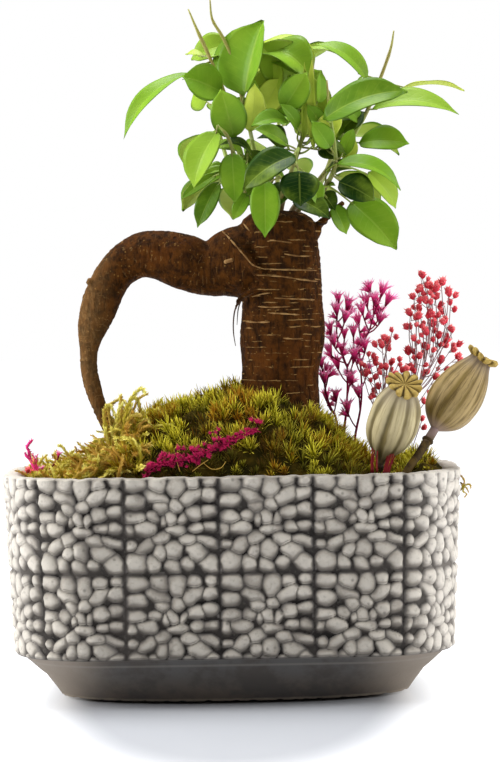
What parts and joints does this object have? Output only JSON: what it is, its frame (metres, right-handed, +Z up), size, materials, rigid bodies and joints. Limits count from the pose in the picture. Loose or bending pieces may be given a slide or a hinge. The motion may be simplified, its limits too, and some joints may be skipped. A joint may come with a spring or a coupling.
{
  "type": "bonsai",
  "caption": "Ficus bonsai with a stout cut-back trunk and an arching aerial root, in an oblong pebble-relief concrete pot with moss and dried flowers.",
  "frame": {"origin": "centre of the pot's foot, where it rests on the surface", "axes": "+Z up, +X along the pot's length to the right as seen from the front, -Y towards the viewer"},
  "size_m": [0.2472, 0.1349, 0.351],
  "materials": {
    "concrete": "matte",
    "soil": "matte",
    "moss": "matte",
    "bark": "matte",
    "leaf": "satin",
    "magenta_flower": "matte",
    "coral_flower": "matte",
    "poppy_head": "matte"
  },
  "bodies": {
    "root": {"pot": "concrete", "soil": "soil", "moss": "moss", "trunk": "bark", "shoot_left": "leaf", "shoot_top": "leaf", "shoot_centre": "leaf", "shoot_right": "leaf", "shoot_low_right": "leaf", "shoot_low_left": "leaf", "shoot_front": "leaf", "shoot_back_left": "leaf", "shoot_back_right": "leaf", "shoot_back_top": "leaf", "magenta_left": "magenta_flower", "magenta_middle": "magenta_flower", "magenta_right": "magenta_flower", "magenta_sprig_left": "magenta_flower", "magenta_sprig_laid": "magenta_flower", "coral_left": "coral_flower", "coral_right": "coral_flower", "coral_sprig_left": "coral_flower", "poppy_front": "poppy_head", "poppy_right": "poppy_head"}
  },
  "joints": []
}
